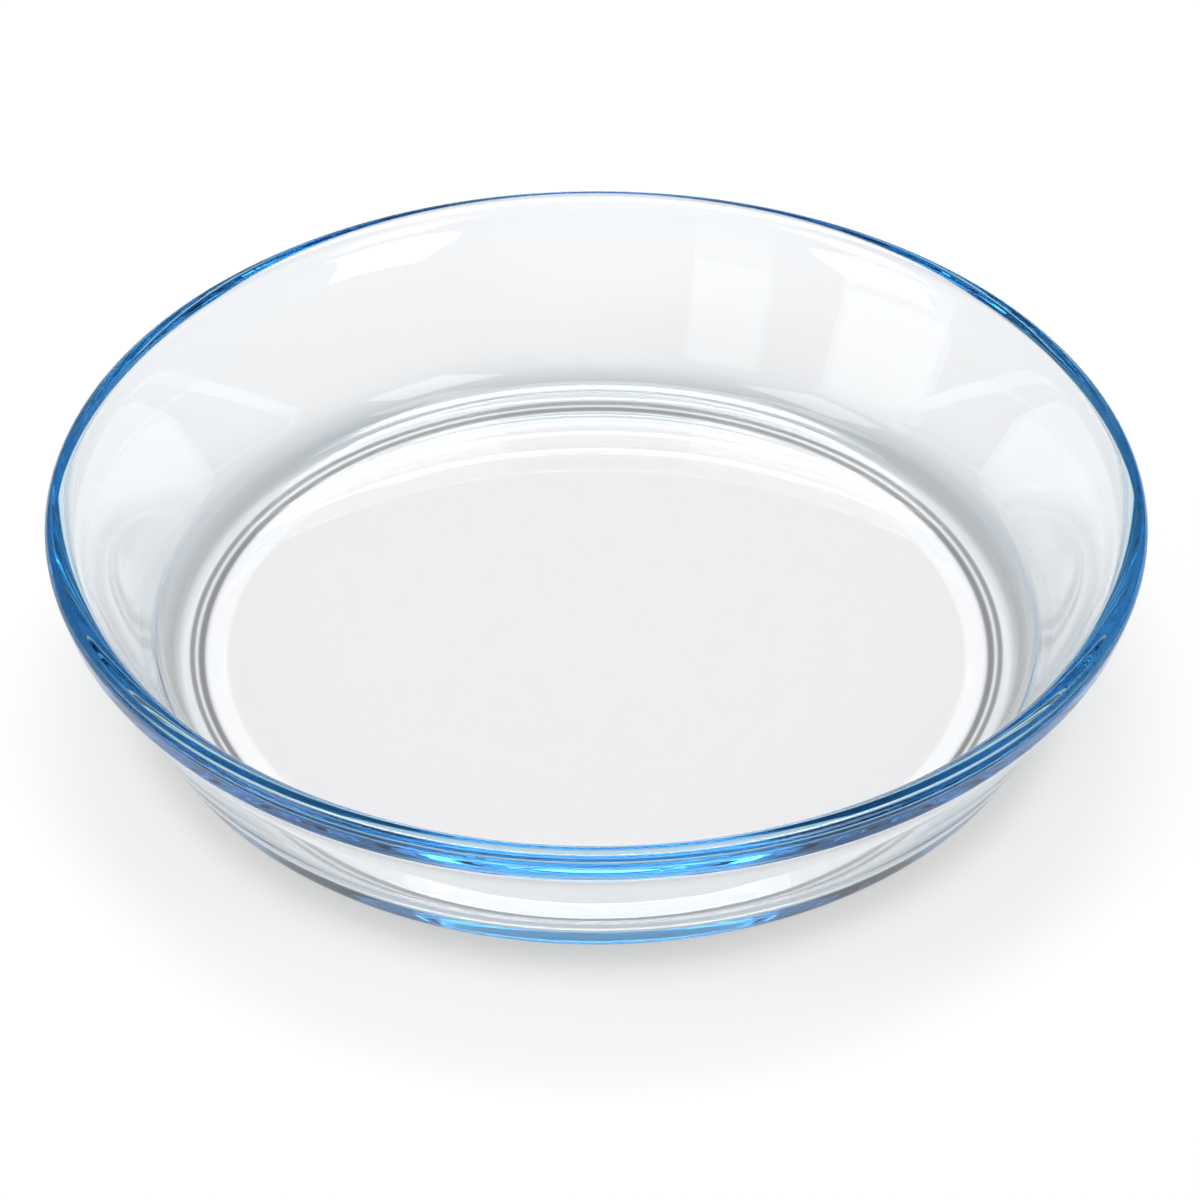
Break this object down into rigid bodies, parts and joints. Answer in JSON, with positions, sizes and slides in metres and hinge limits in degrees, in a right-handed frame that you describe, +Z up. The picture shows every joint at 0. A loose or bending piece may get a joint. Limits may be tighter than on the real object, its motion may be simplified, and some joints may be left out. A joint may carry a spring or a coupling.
{
  "type": "round glass baking dish",
  "caption": "Round clear glass baking dish with a flared side wall, a thick rounded rim and a flat floor, for baking and serving cakes, pies and gratins.",
  "frame": {"origin": "on the table plane, under the middle of the dish", "axes": "+Z up along the dish's axis of revolution; the dish is round, so +X and +Y are alike"},
  "size_m": [0.26, 0.26, 0.047],
  "materials": {
    "clear_glass": "pressed, fire-polished and clear, faintly blue where the light runs far through it"
  },
  "bodies": {
    "root": {"rim_bead": "clear_glass", "side_wall": "clear_glass", "heel_ring": "clear_glass", "foot_ring": "clear_glass", "base_disc": "clear_glass"}
  },
  "joints": []
}
